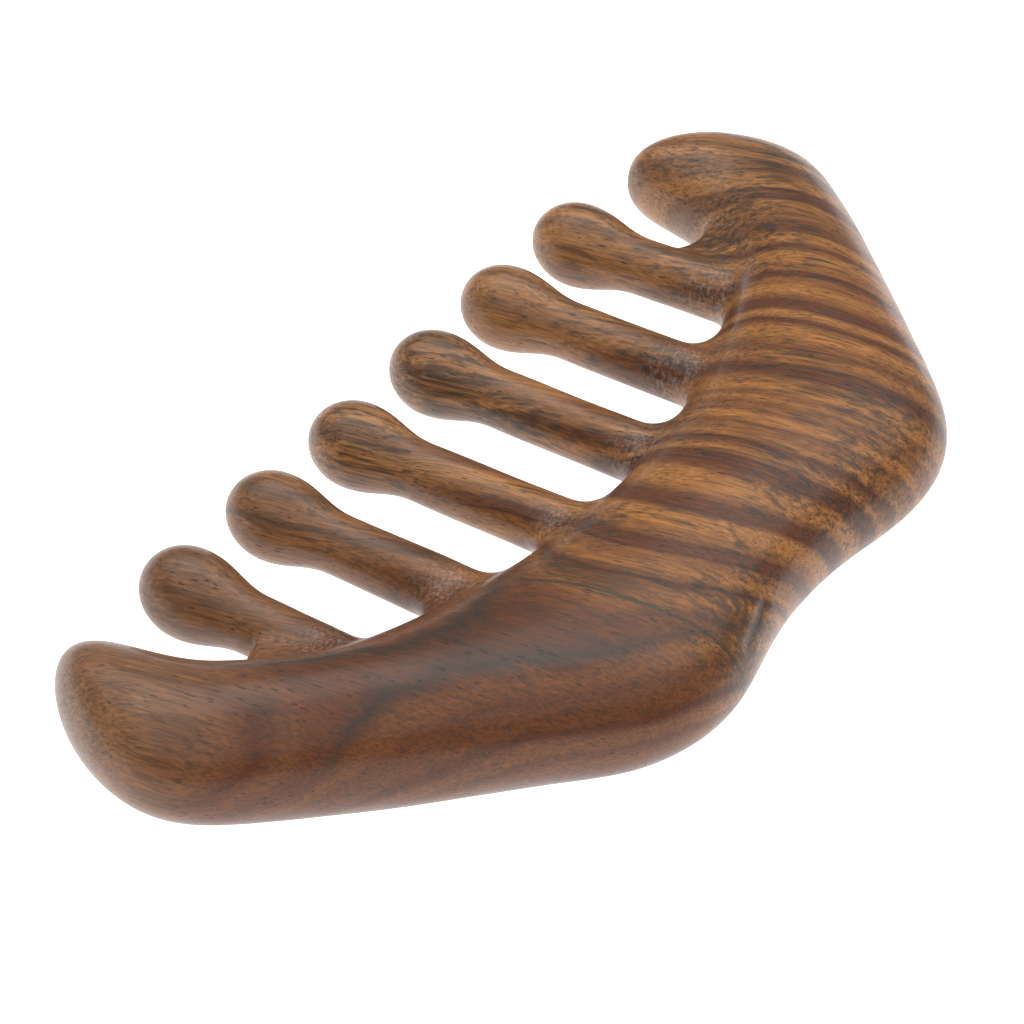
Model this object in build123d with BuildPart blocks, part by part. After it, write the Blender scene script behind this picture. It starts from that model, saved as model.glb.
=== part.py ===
from build123d import *
import os

# Wide tooth comb, carved from one block of hardwood: a thick rounded back with two humps, six
# club-shaped teeth with ball ends, and a broad horn-shaped end tooth at each side.
# Frame: +X along the comb, +Y towards the tooth tips, +Z up. The comb lies on its belly on z = 0,
# with the origin under the middle of its outline. All lengths are in millimetres.

# ---- Driving dimensions ----
back_thickness = 18.8       # face to face, before the belly is flattened
belly_flat_depth = 0.2      # sanded off the belly, so that the comb lies steady
edge_round = 12.4           # how far the rounding of the back reaches in from its edge
oval_handle = 0.5523        # handle length that makes a Bezier curve a quarter of an ellipse

ball_radius = 5.5
ball_nose = 6.6             # ball centre to tooth tip
ball_neck = 9.8             # ball centre back to where the neck is straight
swell_start = 0.6           # shape of the swelling from neck to ball, as shares of ball_neck
swell_end = 0.4
neck_radius = 3.72
root_radius = 3.9
root_fillet = 4.7
tooth_depth_ratio = 1.05    # the teeth are a little thicker than they are wide
tooth_root_y = -9.0         # where the tooth axes start, inside the back

# Right half of the teeth, from the middle out: root x, ball centre x and y, size of the ball,
# and the y of the flat where the tooth meets its stub on the back
right_teeth = [
    (9.0, 9.0, 28.2, 0.99, 2.5),
    (26.7, 26.2, 28.5, 0.99, 5.5),
    (45.1, 43.7, 28.3, 1.01, 15.5),
]

# The back is a bent bar of oval section. Each rib is one section: its end at the toothed edge,
# its end at the outer edge, and its half thickness. They run from the middle to the horn's tip.
half_back = back_thickness / 2
middle_rib = ((0, -4.5), (0, -32.2), half_back)
right_ribs = [
    ((12.5, -3.7), (12.0, -33.4), half_back),
    ((24.0, -1.5), (24.0, -35.05), half_back),
    ((33.0, 1.0), (35.5, -31.5), half_back),
    ((41.0, 3.9), (46.0, -21.8), half_back),
    ((47.5, 7.3), (55.5, -12.4), 9.3),
    ((51.5, 11.2), (63.5, -4.2), 9.1),
    ((54.3, 15.3), (70.3, 3.3), 8.7),
    ((56.3, 20.0), (74.7, 12.0), 8.2),
    ((57.6, 25.0), (73.4, 20.4), 7.6),
    ((58.6, 28.6), (70.0, 26.8), 6.4),
    ((59.6, 30.6), (66.9, 30.4), 4.8),
    ((60.7, 31.9), (64.5, 32.2), 2.9),
]
right_tip = (62.5, 32.45)
horn_rib = 6                # the end tooth starts at this rib of the right-hand list

# ---- Worked out from them ----
mid_height = half_back - belly_flat_depth
horn_ribs = right_ribs[horn_rib - 2:]
stub_room = 8.0             # half the width that is cleared above each stub
tooth_room = 50.0           # more than the height of any tooth


def mirrored(rib):
    """The same rib on the other side of the comb."""
    (inner_x, inner_y), (outer_x, outer_y), half_height = rib
    return ((-inner_x, inner_y), (-outer_x, outer_y), half_height)


def rib_plane(rib):
    """Upright plane through both ends of a rib, with its origin midway between them."""
    inner_end = Vector(*rib[0], mid_height)
    outer_end = Vector(*rib[1], mid_height)
    across = outer_end - inner_end
    return Plane(origin=(inner_end + outer_end) / 2, x_dir=across, z_dir=across.cross(Vector(0, 0, 1)))


def oval(rib):
    """Section of the back across one rib: an oval, flatter on top where the rib is wide."""
    inner, outer, half_height = rib
    half_width = (Vector(*outer) - Vector(*inner)).length / 2
    reach = min(edge_round, half_width)
    crown = half_width - reach + oval_handle * reach
    flank = oval_handle * half_height
    with BuildSketch(rib_plane(rib)) as section:
        with BuildLine():
            Bezier((half_width, 0), (half_width, flank), (crown, half_height), (0, half_height))
            Bezier((0, half_height), (-crown, half_height), (-half_width, flank), (-half_width, 0))
            Bezier((-half_width, 0), (-half_width, -flank), (-crown, -half_height), (0, -half_height))
            Bezier((0, -half_height), (crown, -half_height), (half_width, -flank), (half_width, 0))
        make_face()
    return section.sketch


def club(root_x, ball_x, ball_y, size):
    """A whole tooth: a straight round neck that swells into a ball, nearly upright on the back."""
    root = Vector(root_x, tooth_root_y, mid_height / tooth_depth_ratio)
    ball = Vector(ball_x, ball_y, mid_height / tooth_depth_ratio)
    length = (ball - root).length
    radius = size * ball_radius
    upright = Plane(origin=root, x_dir=(ball - root).cross(Vector(0, 0, 1)), z_dir=(0, 0, 1))
    with BuildPart() as whole_tooth:
        with BuildSketch(upright):
            with BuildLine():
                Line((0, 0), (root_radius, 0))
                Line((root_radius, 0), (neck_radius, length - ball_neck))
                Bezier(
                    (neck_radius, length - ball_neck),
                    (neck_radius, length - swell_start * ball_neck),
                    (radius, length - swell_end * ball_neck),
                    (radius, length),
                )
                EllipticalCenterArc((0, length), radius, size * ball_nose)
                Line((0, length + size * ball_nose), (0, 0))
            make_face()
        revolve(axis=Axis(root, ball - root))
        scale(by=(1, 1, tooth_depth_ratio))
    return whole_tooth.part


# ---- Back: both arms, with a filleted stub under every tooth ----
# The arm is lofted past both of its ends and cut back, so that it crosses the middle of the
# comb squarely and meets the end tooth smoothly.
arm_ribs = [mirrored(rib) for rib in reversed(right_ribs[:2])] + [middle_rib] + right_ribs[:horn_rib + 2]
horn_plane = rib_plane(right_ribs[horn_rib])
with BuildPart() as arm:
    loft([oval(rib) for rib in arm_ribs])
    split(bisect_by=Plane.YZ)
    split(bisect_by=horn_plane)

clubs = [club(root_x, ball_x, ball_y, size) for root_x, ball_x, ball_y, size, cut_y in right_teeth]
with BuildPart() as half_comb:
    add(arm.part)
    add(clubs)
    fillet(new_edges(arm.part, *clubs, combined=half_comb.part), radius=root_fillet)
    for root_x, ball_x, ball_y, size, cut_y in right_teeth:
        with BuildSketch(Plane.XZ.offset(-cut_y)):
            with Locations((ball_x, mid_height)):
                Rectangle(2 * stub_room, back_thickness)
        extrude(amount=-tooth_room, mode=Mode.SUBTRACT)

with BuildPart() as back:
    add(half_comb.part)
    mirror(about=Plane.YZ)
    split(bisect_by=Plane.XY)

# ---- Teeth: tooth_1 is next to the left end tooth, tooth_6 next to the right one ----
right_numbers = [4, 5, 6]
teeth = {}
for number, whole_tooth, (root_x, ball_x, ball_y, size, cut_y) in zip(right_numbers, clubs, right_teeth):
    with BuildPart() as right_tooth:
        add(whole_tooth)
        split(bisect_by=Plane.XZ.offset(-cut_y), keep=Keep.BOTTOM)
    with BuildPart() as left_tooth:
        add(right_tooth.part)
        mirror(about=Plane.YZ, mode=Mode.REPLACE)
    teeth[f"tooth_{number}"] = right_tooth
    teeth[f"tooth_{len(right_numbers) * 2 + 1 - number}"] = left_tooth

# ---- End teeth: the horns that close the comb at both sides ----
with BuildPart() as end_tooth_right:
    loft([oval(rib) for rib in horn_ribs] + [Vertex(*right_tip, mid_height)])
    split(bisect_by=horn_plane, keep=Keep.BOTTOM)

with BuildPart() as end_tooth_left:
    add(end_tooth_right.part)
    mirror(about=Plane.YZ, mode=Mode.REPLACE)

# ---- One file for each piece ----
pieces = {"back": back, **teeth, "end_tooth_left": end_tooth_left, "end_tooth_right": end_tooth_right}
os.makedirs("parts", exist_ok=True)
for name, piece in pieces.items():
    piece.part.label = name
    export_step(piece.part, f"parts/{name}.step")
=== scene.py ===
from math import cos, radians, sin

import bmesh
import bpy
import numpy as np
from mathutils import Matrix, Vector, noise


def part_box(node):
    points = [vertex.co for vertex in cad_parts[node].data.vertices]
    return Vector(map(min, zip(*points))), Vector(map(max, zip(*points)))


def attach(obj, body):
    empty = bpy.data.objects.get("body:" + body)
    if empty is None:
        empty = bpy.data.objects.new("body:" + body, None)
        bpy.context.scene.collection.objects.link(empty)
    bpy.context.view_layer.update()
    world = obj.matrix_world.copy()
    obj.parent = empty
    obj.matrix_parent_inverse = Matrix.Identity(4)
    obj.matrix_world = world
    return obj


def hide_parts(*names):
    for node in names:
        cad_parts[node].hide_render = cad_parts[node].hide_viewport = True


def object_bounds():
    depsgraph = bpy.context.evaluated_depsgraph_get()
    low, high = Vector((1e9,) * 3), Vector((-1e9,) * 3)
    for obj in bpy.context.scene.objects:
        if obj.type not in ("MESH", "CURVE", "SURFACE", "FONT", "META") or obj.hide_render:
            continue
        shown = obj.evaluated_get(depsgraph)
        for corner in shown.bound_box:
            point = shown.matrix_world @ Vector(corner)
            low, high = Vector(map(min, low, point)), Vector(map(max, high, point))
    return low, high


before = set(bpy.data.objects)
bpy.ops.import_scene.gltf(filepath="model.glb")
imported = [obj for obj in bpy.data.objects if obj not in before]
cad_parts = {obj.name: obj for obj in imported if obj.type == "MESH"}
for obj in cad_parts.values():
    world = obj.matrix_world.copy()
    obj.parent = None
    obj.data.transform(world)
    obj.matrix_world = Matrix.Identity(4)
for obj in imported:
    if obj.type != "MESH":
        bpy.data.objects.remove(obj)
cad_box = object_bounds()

# A wide tooth comb, carved from one block of striped hardwood, on a pale floor. The CAD nodes are
# joined into one surface, given their hand marks, and cut apart again, one piece for each node.
# Lengths are in metres, and those of the hand marks and the wood's figure are in millimetres.
MM = 0.001

# ---- Places on the comb, from its CAD boxes, in metres ----
comb_low, comb_high = cad_box
middle = (comb_low + comb_high) / 2
horn_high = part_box("end_tooth_right")[1]

# ---- The carved surface ----
voxel = 0.42 * MM              # mesh size
smooth_passes = 8              # takes the voxel steps out of the surface
smooth_factor = 0.5
root_overlap = 1.0 * MM        # how far a tooth is pushed into the back before they are joined
flat_tolerance = 0.01 * MM     # how near a corner lies to the flat that it belongs to
cut_margin = 1.0 * MM          # room round a tooth's box when it is cut off
cut_reach = 3.0 * MM           # the same, towards the back
cut_tolerance = 1e-7

# ---- Hand work, in millimetres ----
# The right horn is rounded off a little more than the left one
horn_centre = horn_high / MM - Vector((13.78, 0.64, 5.9))
horn_reach = 15.0
horn_shift = Vector((0.0, -0.9, -0.3))
# A short crease runs along the outer edge, beside the notch between the humps, and a painted shade
# line follows it
crease_start = Vector((-11.7, comb_low.y / MM + 3.25, 13.5))
crease_end = Vector((-18.6, comb_low.y / MM + 1.35, 12.7))
crease_width = 0.75
crease_depth = 0.15
# The sanding is uneven
unevenness = 0.13
uneven_size = 11.0

# ---- The wood's figure, in millimetres ----
# The growth rings are circles round an axis that runs from back to tips, below the left arm.
# The grain drifts a little to the side on its way.
grain_drift = -0.22
ring_centre = Vector((comb_low.x / MM + 32.78, 0.0, -12.5))
ring_width = 3.1
fine_ring_width = 1 / 2.6
dark_rings = [(31.3, 0.3), (34.2, 0.5)]     # radius and blur of two single dark rings
dark_rings_from, dark_rings_full = -66.0, -58.0     # they fade out at the left end
plain_from, plain_full = -16.0, -34.0       # towards the left, the stripes give way to plain wood
pale_from, pale_full = 4.0, 16.0            # towards the tips, the teeth turn paler
mineral_line = -28.9                        # where it crosses, measured across the grain
mineral_width = 0.24
mineral_from, mineral_full = -4.0, -9.0     # it fades out before the toothed edge

# How often a pattern repeats in a millimetre: across the grain, along it, and upwards
wave_rate = (0.05, 0.022, 0.05)
ripple_rate = (0.35, 0.07, 0.35)
fibre_rate = (3.4, 0.16, 3.4)
streak_rate = (1.5, 0.10, 1.5)
cloud_rate = (0.07, 0.05, 0.07)
pore_rate = (2.6, 0.5, 2.6)
pore_drift_rate = (0.33, 0.05, 0.33)
sheen_speck_rate = (2.2, 2.2, 1.0)
smear_rate = (0.16, 0.12, 0.16)
speck_rate = (4.5, 4.5, 4.5)

# How far the waves and the ripple push the figure
wave_push = (5.0, 0.0, 4.0)
ripple_push = (1.1, 0.0, 1.1)

# Pale specks of painted sheen lie in the hollows a little to the left of the tooth roots, along the
# toothed edge of the back
hollow_shift = 2.5
hollow_start = -7.0
hollow_slope = 0.31
hollow_core = 2.0
hollow_reach = 6.5

# Colours, as linear red, green and blue
golden = (0.48, 0.195, 0.048, 1)
tan = (0.28, 0.105, 0.028, 1)
red_brown = (0.115, 0.029, 0.009, 1)
deep_red = (0.115, 0.023, 0.004, 1)
dark_brown = (0.030, 0.014, 0.008, 1)
charcoal = (0.02, 0.018, 0.014, 1)
greenish = (0.034, 0.033, 0.020, 1)
pale_gold = (0.46, 0.24, 0.11, 1)
# The pale colour of the painted sheen in the root hollows
painted_sheen_colour = (0.50, 0.40, 0.34, 1)
white = (1, 1, 1, 1)
floor_grey = (0.3, 0.3, 0.3, 1)

# The satin polish
polish = (0.36, 0.47)          # roughness, from where it is best to where it is worst
dullness = 0.15                # what a pore or a speck of the painted sheen adds to it
grain_relief = 0.05 * MM

# ---- The studio, in metres and degrees ----
floor_half = 3.0
floor_glow = 1.5
room_glow = 0.2
softbox_distance = 0.9
softbox_elevation = 62
overhead_height = 0.8
overhead_shift = 0.35

# The camera looks down on the comb from its left and from the side of its back
view_azimuth = -57.8
view_elevation = 39.0
view_roll = 0.98
view_distance = 452.8 * MM
view_target = middle + Vector((-9.4, 4.9, -0.1)) * MM
view_lens = 129.9
view_sensor = 36.0

tooth_nodes = [f"tooth_{number}" for number in range(1, 7)]
branch_nodes = tooth_nodes + ["end_tooth_left", "end_tooth_right"]
all_nodes = ["back"] + branch_nodes


# ---- Reading the CAD nodes ----
def triangles(node):
    """Corner points of every triangle of a CAD node, as an array of n x 3 x 3."""
    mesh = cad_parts[node].data
    mesh.calc_loop_triangles()
    points = np.empty(len(mesh.vertices) * 3)
    mesh.vertices.foreach_get("co", points)
    corners = np.empty(len(mesh.loop_triangles) * 3, dtype=np.int32)
    mesh.loop_triangles.foreach_get("vertices", corners)
    return points.reshape(-1, 3)[corners].reshape(-1, 3, 3)


def facing(corners):
    """Unit normal and area of every triangle. One with no area gets no direction."""
    cross = np.cross(corners[:, 1] - corners[:, 0], corners[:, 2] - corners[:, 0])
    length = np.linalg.norm(cross, axis=1)
    return cross / np.maximum(length, 1e-18)[:, None], length / 2


def root_plane(node):
    """Point and outward normal of the flat where a tooth or end tooth meets the back."""
    corners = triangles(node)
    normals, areas = facing(corners)
    group = np.unique(np.round(normals, 3), axis=0, return_inverse=True)[1].ravel()
    members = group == np.bincount(group, weights=areas).argmax()
    normal = np.average(normals[members], axis=0, weights=areas[members])
    return corners[members].mean(axis=(0, 1)), normal / np.linalg.norm(normal)


planes = {node: root_plane(node) for node in branch_nodes}


# ---- Shape: one carved surface, made from all the CAD nodes ----
def overlapping(node):
    """A node's triangles, with the flat of a tooth pushed into the back so that the two overlap."""
    corners = triangles(node)
    if node in planes:
        point, normal = planes[node]
        on_flat = np.abs((corners - point) @ normal) < flat_tolerance
        corners = corners + (on_flat * root_overlap)[..., None] * normal
    return corners


def carved_surface():
    """The whole comb as one closed mesh with an even, smooth surface."""
    corners = np.concatenate([overlapping(node) for node in all_nodes])
    mesh = bpy.data.meshes.new("blank")
    faces = np.arange(len(corners) * 3).reshape(-1, 3)
    mesh.from_pydata(corners.reshape(-1, 3).tolist(), [], faces.tolist())
    blank = bpy.data.objects.new("blank", mesh)
    bpy.context.scene.collection.objects.link(blank)
    remesh = blank.modifiers.new("even", "REMESH")
    remesh.mode = "VOXEL"
    remesh.voxel_size = voxel
    smooth = blank.modifiers.new("polish", "SMOOTH")
    smooth.factor = smooth_factor
    smooth.iterations = smooth_passes
    graph = bpy.context.evaluated_depsgraph_get()
    surface = bpy.data.meshes.new_from_object(blank.evaluated_get(graph))
    bpy.data.objects.remove(blank)
    bpy.data.meshes.remove(mesh)
    return surface


def eased(distance, reach):
    """1 at the middle, falling smoothly to 0 at the reach."""
    share = max(0.0, 1.0 - distance / reach)
    return share * share * (3.0 - 2.0 * share)


def hand_work(surface):
    """Moves the points of the carved surface by about a millimetre at most, as the hand left it."""
    crease = crease_end - crease_start
    points = [vertex.co / MM for vertex in surface.vertices]
    normals = [vertex.normal.copy() for vertex in surface.vertices]
    moved = []
    for point, normal in zip(points, normals):
        move = horn_shift * eased((point - horn_centre).length, horn_reach)
        along = min(1.0, max(0.0, (point - crease_start).dot(crease) / crease.length_squared))
        beside = (point - crease_start - along * crease).length
        move -= normal * crease_depth * eased(beside, crease_width * 2)
        move += normal * unevenness * noise.noise(point / uneven_size)
        moved.extend((point + move) * MM)
    surface.vertices.foreach_set("co", moved)
    surface.update()


# ---- Pieces: the surface is cut on the root planes ----
def cut_surface(surface):
    """The surface with an edge loop on every root plane, and its vertex normals."""
    work = bmesh.new()
    work.from_mesh(surface)
    for node, (point, normal) in planes.items():
        low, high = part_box(node)
        nearby = [
            face for face in work.faces
            if low.x - cut_margin < face.calc_center_median().x < high.x + cut_margin
            and face.calc_center_median().y > low.y - cut_reach
        ]
        edges = {edge for face in nearby for edge in face.edges}
        verts = {vert for face in nearby for vert in face.verts}
        bmesh.ops.bisect_plane(
            work, geom=list(verts) + list(edges) + nearby, dist=cut_tolerance,
            plane_co=Vector(point), plane_no=Vector(normal),
        )
    work.normal_update()
    work.verts.index_update()
    normals = [vert.normal.copy() for vert in work.verts]
    whole = bpy.data.meshes.new("whole")
    work.to_mesh(whole)
    work.free()
    return whole, normals


def face_owners(whole):
    """For every face of the cut surface, the name of the node that it belongs to."""
    centres = np.empty(len(whole.polygons) * 3)
    whole.polygons.foreach_get("center", centres)
    centres = centres.reshape(-1, 3)
    owners = np.full(len(centres), "back", dtype=object)
    for node, (point, normal) in planes.items():
        low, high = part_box(node)
        beyond = (centres - point) @ normal < 0
        beside = (centres[:, 0] > low.x - cut_margin) & (centres[:, 0] < high.x + cut_margin)
        owners[beyond & beside & (centres[:, 1] > low.y - cut_margin)] = node
    return owners


def closed_piece(node, whole, owners, normals):
    """One node's share of the surface, closed with flat caps, and shaded like the whole."""
    part = bmesh.new()
    part.from_mesh(whole)
    source = part.verts.layers.int.new("source")
    for vert in part.verts:
        vert[source] = vert.index
    others = [face for face in part.faces if owners[face.index] != node]
    bmesh.ops.delete(part, geom=others, context="FACES")
    rim = [edge for edge in part.edges if edge.is_boundary]
    sides = set(part.faces)
    bmesh.ops.holes_fill(part, edges=rim, sides=0)
    part.normal_update()
    cap_flags = [face not in sides for face in part.faces]
    sources = [vert[source] for vert in part.verts]
    part.verts.layers.int.remove(source)
    mesh = bpy.data.meshes.new(f"wood_{node}")
    part.to_mesh(mesh)
    part.free()
    mesh.shade_smooth()
    loop_normals = []
    for polygon, is_cap in zip(mesh.polygons, cap_flags):
        for vertex in polygon.vertices:
            loop_normals.append(polygon.normal.copy() if is_cap else normals[sources[vertex]])
    mesh.normals_split_custom_set(loop_normals)
    piece = bpy.data.objects.new(f"wood_{node}", mesh)
    bpy.context.scene.collection.objects.link(piece)
    return piece


surface = carved_surface()
hand_work(surface)
whole, whole_normals = cut_surface(surface)
owners = face_owners(whole)
pieces = {node: closed_piece(node, whole, owners, whole_normals) for node in all_nodes}


# ---- Materials ----
class Nodes:
    """Adds nodes to one material: each call gives the new node's output that is used next."""

    def __init__(self, name):
        self.material = bpy.data.materials.new(name)
        self.material.use_nodes = True
        self.tree = self.material.node_tree
        self.shader = self.tree.nodes["Principled BSDF"]

    def put(self, socket, value):
        """Links a socket, or sets its value."""
        if isinstance(value, bpy.types.NodeSocket):
            self.tree.links.new(value, socket)
        else:
            socket.default_value = value

    def finish(self, **values):
        """Sets the shader's inputs, with _ for every space in their names."""
        for name, value in values.items():
            self.put(self.shader.inputs[name.replace("_", " ")], value)

    def add(self, kind, values, output=0, **settings):
        """A new node, with its inputs given by name or number."""
        node = self.tree.nodes.new(kind)
        for setting, value in settings.items():
            setattr(node, setting, value)
        for key, value in values.items():
            self.put(node.inputs[key], value)
        return node.outputs[output]

    def math(self, operation, first, second=0.0):
        """Arithmetic on numbers."""
        return self.add("ShaderNodeMath", {0: first, 1: second}, operation=operation)

    def vector(self, operation, first, second=(0.0, 0.0, 0.0), output="Vector"):
        """Arithmetic on vectors."""
        return self.add("ShaderNodeVectorMath", {0: first, 1: second}, output, operation=operation)

    def scaled(self, vector, factor):
        """A vector made longer or shorter."""
        return self.add("ShaderNodeVectorMath", {0: vector, "Scale": factor}, operation="SCALE")

    def along(self, axis, vector):
        """The X, Y or Z of a vector."""
        return self.add("ShaderNodeSeparateXYZ", {"Vector": vector}, axis)

    def noise(self, where, rate, detail=2.0, roughness=0.5, output="Fac"):
        """Noise that repeats about so often in a millimetre along X, Y and Z."""
        place = self.vector("MULTIPLY", where, rate)
        values = {"Vector": place, "Scale": 1.0, "Detail": detail, "Roughness": roughness}
        return self.add("ShaderNodeTexNoise", values, output)

    def ring_noise(self, radius, width, detail, roughness):
        """Noise that only changes with the ring radius."""
        turns = self.math("DIVIDE", radius, width)
        values = {"W": turns, "Scale": 1.0, "Detail": detail, "Roughness": roughness}
        return self.add("ShaderNodeTexNoise", values, noise_dimensions="1D")

    def span(self, value, low, high, to=(0.0, 1.0)):
        """Maps the range from low to high onto another one, and stays inside it."""
        values = {"Value": value, "From Min": low, "From Max": high, "To Min": to[0], "To Max": to[1]}
        return self.add("ShaderNodeMapRange", values)

    def mix(self, share, first, second):
        """Mixes two colours."""
        node = self.tree.nodes.new("ShaderNodeMix")
        node.data_type = "RGBA"
        self.put(node.inputs["Factor"], share)
        self.put(node.inputs[6], first)
        self.put(node.inputs[7], second)
        return node.outputs[2]

    def tint(self, colour, shade, where, strength):
        """A colour with a share of another one mixed in where a mask says so."""
        return self.mix(self.math("MULTIPLY", where, strength), colour, shade)


def warped_grain(wood, grain):
    """The place inside the block, pushed about by slow waves and a quick ripple, and the ripple."""
    half = (0.5, 0.5, 0.5)
    waves = wood.vector("SUBTRACT", wood.noise(grain, wave_rate, detail=1.0, output="Color"), half)
    ripple = wood.vector("SUBTRACT", wood.noise(grain, ripple_rate, output="Color"), half)
    warped = wood.vector("ADD", grain, wood.vector("MULTIPLY", waves, wave_push))
    return wood.vector("ADD", warped, wood.vector("MULTIPLY", ripple, ripple_push)), ripple


def ring_radius(wood, warped):
    """Distance from the axis of the growth rings."""
    arm = wood.vector("SUBTRACT", warped, ring_centre)
    arm = wood.vector("MULTIPLY", arm, (1.0, 0.0, 1.0))
    return wood.vector("LENGTH", arm, output="Value")


def streaks(wood, place, warped):
    """Dark streaks along the grain, thicker in some clouds than in others."""
    streak = wood.noise(warped, streak_rate, detail=3.0, roughness=0.6)
    cloud = wood.noise(place, cloud_rate)
    return wood.span(wood.math("ADD", streak, wood.math("MULTIPLY", cloud, 0.5)), 0.74, 0.90)


def pores(wood, warped):
    """Open pores: short dashes along the grain, of all sizes up to the largest, in drifts."""
    largest, edge = 0.36, 0.09
    cells = wood.tree.nodes.new("ShaderNodeTexVoronoi")
    wood.put(cells.inputs["Vector"], wood.vector("MULTIPLY", warped, pore_rate))
    wood.put(cells.inputs["Scale"], 1.0)
    pick = wood.add("ShaderNodeSeparateColor", {"Color": cells.outputs["Color"]})
    size = wood.span(pick, 0.2, 1.0, to=(0.0, largest))
    pore = wood.span(wood.math("SUBTRACT", size, cells.outputs["Distance"]), 0.0, edge)
    drift = wood.span(wood.noise(warped, pore_drift_rate), 0.38, 0.55, to=(0.35, 1.0))
    return wood.math("MULTIPLY", pore, drift)


def dark_ring(wood, radius, plain, inside, ring):
    """One thin dark ring on the left arm."""
    middle_radius, blur = ring
    off = wood.math("ABSOLUTE", wood.math("SUBTRACT", radius, middle_radius))
    shade = wood.span(off, blur * 2.0, 0.0, to=(0.0, 0.75))
    return wood.math("MULTIPLY", shade, wood.math("MULTIPLY", plain, inside))


def mineral(wood, place, grain, ripple):
    """The thin mineral line along the grain, which fades out before the toothed edge."""
    across = wood.math("ADD", wood.along("X", grain), wood.along("X", ripple))
    off = wood.math("ABSOLUTE", wood.math("SUBTRACT", across, mineral_line))
    line = wood.span(off, mineral_width * 1.6, mineral_width * 0.4)
    return wood.math("MULTIPLY", line, wood.span(wood.along("Y", place), mineral_from, mineral_full))


def crease_distance(wood, place):
    """Distance from the crease beside the notch."""
    crease = crease_end - crease_start
    start = wood.vector("SUBTRACT", place, crease_start)
    along = wood.vector("DOT_PRODUCT", start, crease / crease.length_squared, "Value")
    foot = wood.scaled(crease, wood.span(along, 0.0, 1.0))
    return wood.vector("DISTANCE", start, foot, "Value")


def root_painted_sheen(wood, place):
    """Specks of painted sheen in the hollows at the tooth roots."""
    ground = wood.vector("MULTIPLY", place, (1.0, 1.0, 0.0))
    nearest = hollow_reach
    for node in tooth_nodes:
        root_x = planes[node][0][0] / MM
        centre = (root_x - hollow_shift, hollow_start + hollow_slope * abs(root_x), 0.0)
        away = wood.vector("DISTANCE", ground, centre, "Value")
        nearest = wood.math("MINIMUM", nearest, away)
    hollow = wood.span(nearest, hollow_reach, hollow_core)
    painted_sheen_specks = wood.noise(place, sheen_speck_rate, detail=4.0, roughness=0.7)
    return wood.math("MULTIPLY", wood.span(painted_sheen_specks, 0.46, 0.68), hollow)


def wood_material():
    """Solid wood: every shade follows from the place inside the block."""
    wood = Nodes("wood")
    place = wood.scaled(wood.add("ShaderNodeTexCoord", {}, "Object"), 1 / MM)
    grain = wood.add("ShaderNodeMapping", {"Vector": place, "Rotation": (0.0, 0.0, grain_drift)})
    warped, ripple = warped_grain(wood, grain)
    radius = ring_radius(wood, warped)
    plain = wood.span(wood.along("X", place), plain_from, plain_full)
    inside = wood.span(wood.along("X", place), dark_rings_from, dark_rings_full)
    tipward = wood.along("Y", place)
    fibre = wood.span(wood.noise(warped, fibre_rate, detail=3.0, roughness=0.65), 0.3, 0.7)
    pore = pores(wood, warped)
    painted_sheen_specks = root_painted_sheen(wood, place)

    # Broad rings of uneven width, a little weaker on the plain arm, with finer ones inside them
    rings = wood.span(wood.ring_noise(radius, ring_width, detail=1.0, roughness=0.4), 0.38, 0.62)
    fine_rings = wood.ring_noise(radius, fine_ring_width, detail=2.0, roughness=0.6)
    fine_rings = wood.span(fine_rings, 0.35, 0.65)
    contrast = wood.span(plain, 0.0, 1.0, to=(1.0, 0.9))
    rings = wood.math("ADD", wood.math("MULTIPLY", wood.math("SUBTRACT", rings, 0.5), contrast), 0.5)

    # The wood's own colours, then what is dark in it, then painted shade along the crease and a
    # painted sheen in the root hollows
    colour = wood.mix(rings, red_brown, golden)
    colour = wood.tint(colour, tan, fine_rings, strength=0.35)
    colour = wood.tint(colour, deep_red, plain, strength=0.72)
    colour = wood.mix(wood.span(tipward, pale_from, pale_full, to=(0.0, 0.38)), colour, pale_gold)
    colour = wood.mix(wood.span(fibre, 0.0, 1.0, to=(0.72, 0.0)), colour, dark_brown)
    streak_strength = wood.span(plain, 0.0, 1.0, to=(0.7, 0.35))
    colour = wood.tint(colour, charcoal, streaks(wood, place, warped), streak_strength)
    for ring in dark_rings:
        colour = wood.mix(dark_ring(wood, radius, plain, inside, ring), colour, charcoal)
    colour = wood.tint(colour, greenish, mineral(wood, place, grain, ripple), strength=0.8)
    colour = wood.tint(colour, charcoal, pore, strength=0.75)
    # Painted shade: a dark line along the crease beside the notch, in place of the shade that the
    # crease would hold
    painted_crease_shade = wood.span(crease_distance(wood, place), crease_width, 0.2, to=(0.0, 0.75))
    colour = wood.mix(painted_crease_shade, colour, dark_brown)
    # Painted sheen: pale specks in the hollows at the tooth roots
    colour = wood.tint(colour, painted_sheen_colour, painted_sheen_specks, strength=0.34)

    # Satin polish, dull where the pores and the specks of painted sheen are
    smear = wood.noise(place, smear_rate, detail=3.0)
    dull = wood.math("MULTIPLY", wood.math("ADD", pore, painted_sheen_specks), dullness)
    roughness = wood.math("ADD", wood.span(smear, 0.3, 0.7, to=polish), dull)

    # Raised fibres, fine specks and sunken pores
    speck = wood.noise(place, speck_rate)
    height = wood.math("ADD", wood.math("MULTIPLY", fibre, 0.35), wood.math("MULTIPLY", speck, 0.8))
    height = wood.math("SUBTRACT", height, pore)
    relief = wood.add("ShaderNodeBump", {"Height": height, "Strength": 1.0, "Distance": grain_relief})
    wood.finish(
        Base_Color=colour, Roughness=roughness, Specular_IOR_Level=0.25,
        Coat_Weight=0.25, Coat_Roughness=0.2, Normal=relief,
    )
    return wood.material


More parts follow.
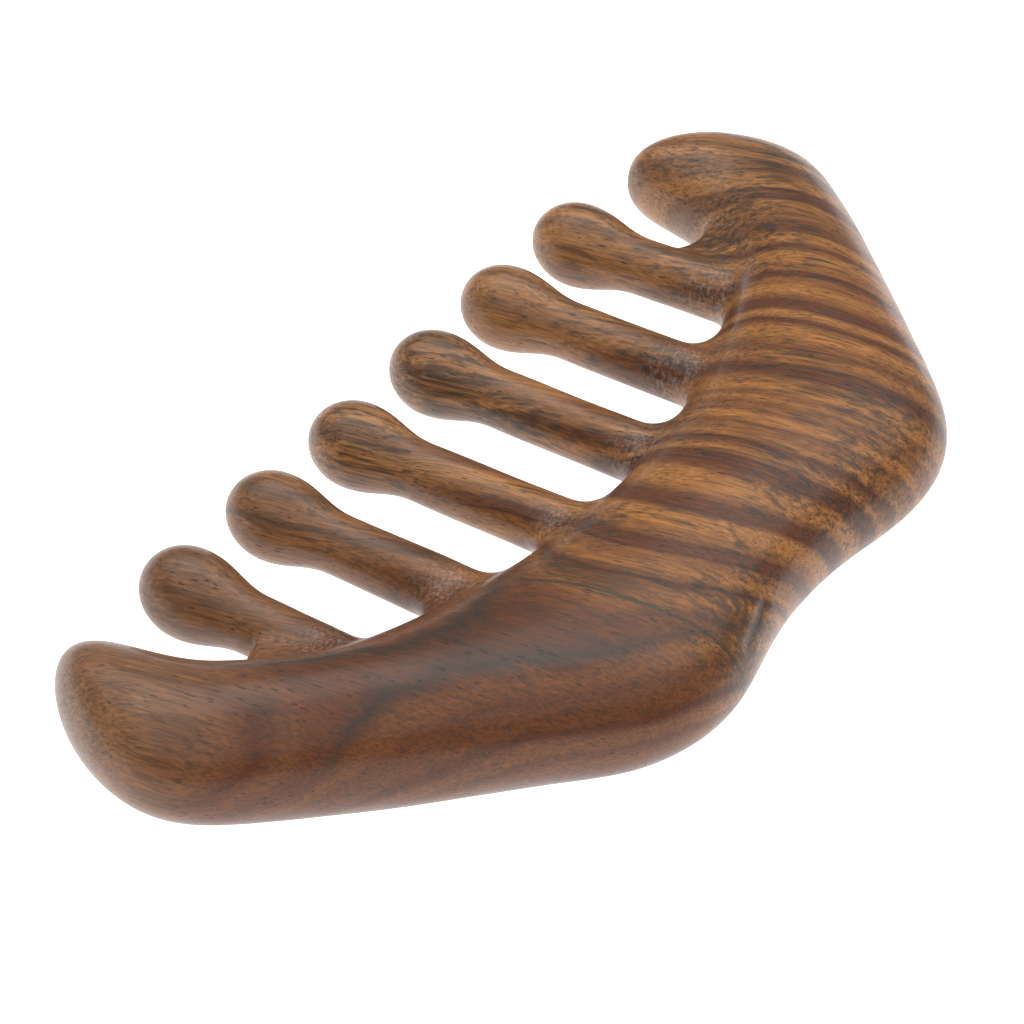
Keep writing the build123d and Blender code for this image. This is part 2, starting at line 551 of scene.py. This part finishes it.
def floor_material():
    """A pale floor that glows a little, like a light table."""
    pale = Nodes("floor")
    pale.finish(
        Base_Color=floor_grey, Roughness=0.8, Specular_IOR_Level=0.0,
        Emission_Color=white, Emission_Strength=floor_glow,
    )
    return pale.material


wood_finish = wood_material()
for node, piece in pieces.items():
    piece.data.materials.append(wood_finish)
    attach(piece, "root")
    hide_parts(node)

# ---- Floor and room ----
floor_mesh = bpy.data.meshes.new("floor")
signs = [(-1, -1), (1, -1), (1, 1), (-1, 1)]
floor_corners = [(x * floor_half, y * floor_half, 0) for x, y in signs]
floor_mesh.from_pydata(floor_corners, [], [(0, 1, 2, 3)])
floor_mesh.materials.append(floor_material())
floor = bpy.data.objects.new("floor", floor_mesh)
bpy.context.scene.collection.objects.link(floor)

world = bpy.data.worlds.new("studio")
bpy.context.scene.world = world
world.use_nodes = True
background = world.node_tree.nodes["Background"]
background.inputs["Color"].default_value = white
background.inputs["Strength"].default_value = room_glow


# ---- Lamps ----
def soft_lamp(name, place, aim, width, depth, power):
    """A soft lamp, aimed at a point."""
    lamp_data = bpy.data.lights.new(name, "AREA")
    lamp_data.shape = "RECTANGLE"
    lamp_data.size = width
    lamp_data.size_y = depth
    lamp_data.energy = power
    lamp = bpy.data.objects.new(name, lamp_data)
    bpy.context.scene.collection.objects.link(lamp)
    lamp.location = place
    lamp.rotation_euler = (aim - place).to_track_quat("-Z", "Y").to_euler()


azimuth, elevation, roll = radians(view_azimuth), radians(view_elevation), radians(view_roll)
skyward = Vector((0, 0, 1))
towards_viewer = Vector((sin(azimuth), -cos(azimuth), 0))

# A long softbox beyond the comb, and a large one overhead, a little on the viewer's side
lamp_rise = radians(softbox_elevation)
softbox = middle + softbox_distance * (sin(lamp_rise) * skyward - cos(lamp_rise) * towards_viewer)
soft_lamp("far_softbox", softbox, middle, width=2.2, depth=0.66, power=8.0)
below = middle + overhead_shift * towards_viewer
overhead = below + overhead_height * skyward
soft_lamp("overhead_softbox", overhead, below, width=1.6, depth=1.6, power=9.5)

# ---- Camera ----
backward = cos(elevation) * towards_viewer + sin(elevation) * skyward
level = (-backward).cross(skyward).normalized()
upright = level.cross(-backward)
right = cos(roll) * level + sin(roll) * upright
up = cos(roll) * upright - sin(roll) * level
camera_data = bpy.data.cameras.new("camera")
camera_data.sensor_width = view_sensor
camera_data.lens = view_lens
camera = bpy.data.objects.new("camera", camera_data)
bpy.context.scene.collection.objects.link(camera)
turn = Matrix((right, up, backward)).transposed().to_4x4()
camera.matrix_world = Matrix.Translation(view_target + view_distance * backward) @ turn
bpy.context.scene.camera = camera
bpy.context.scene.view_settings.view_transform = "Standard"
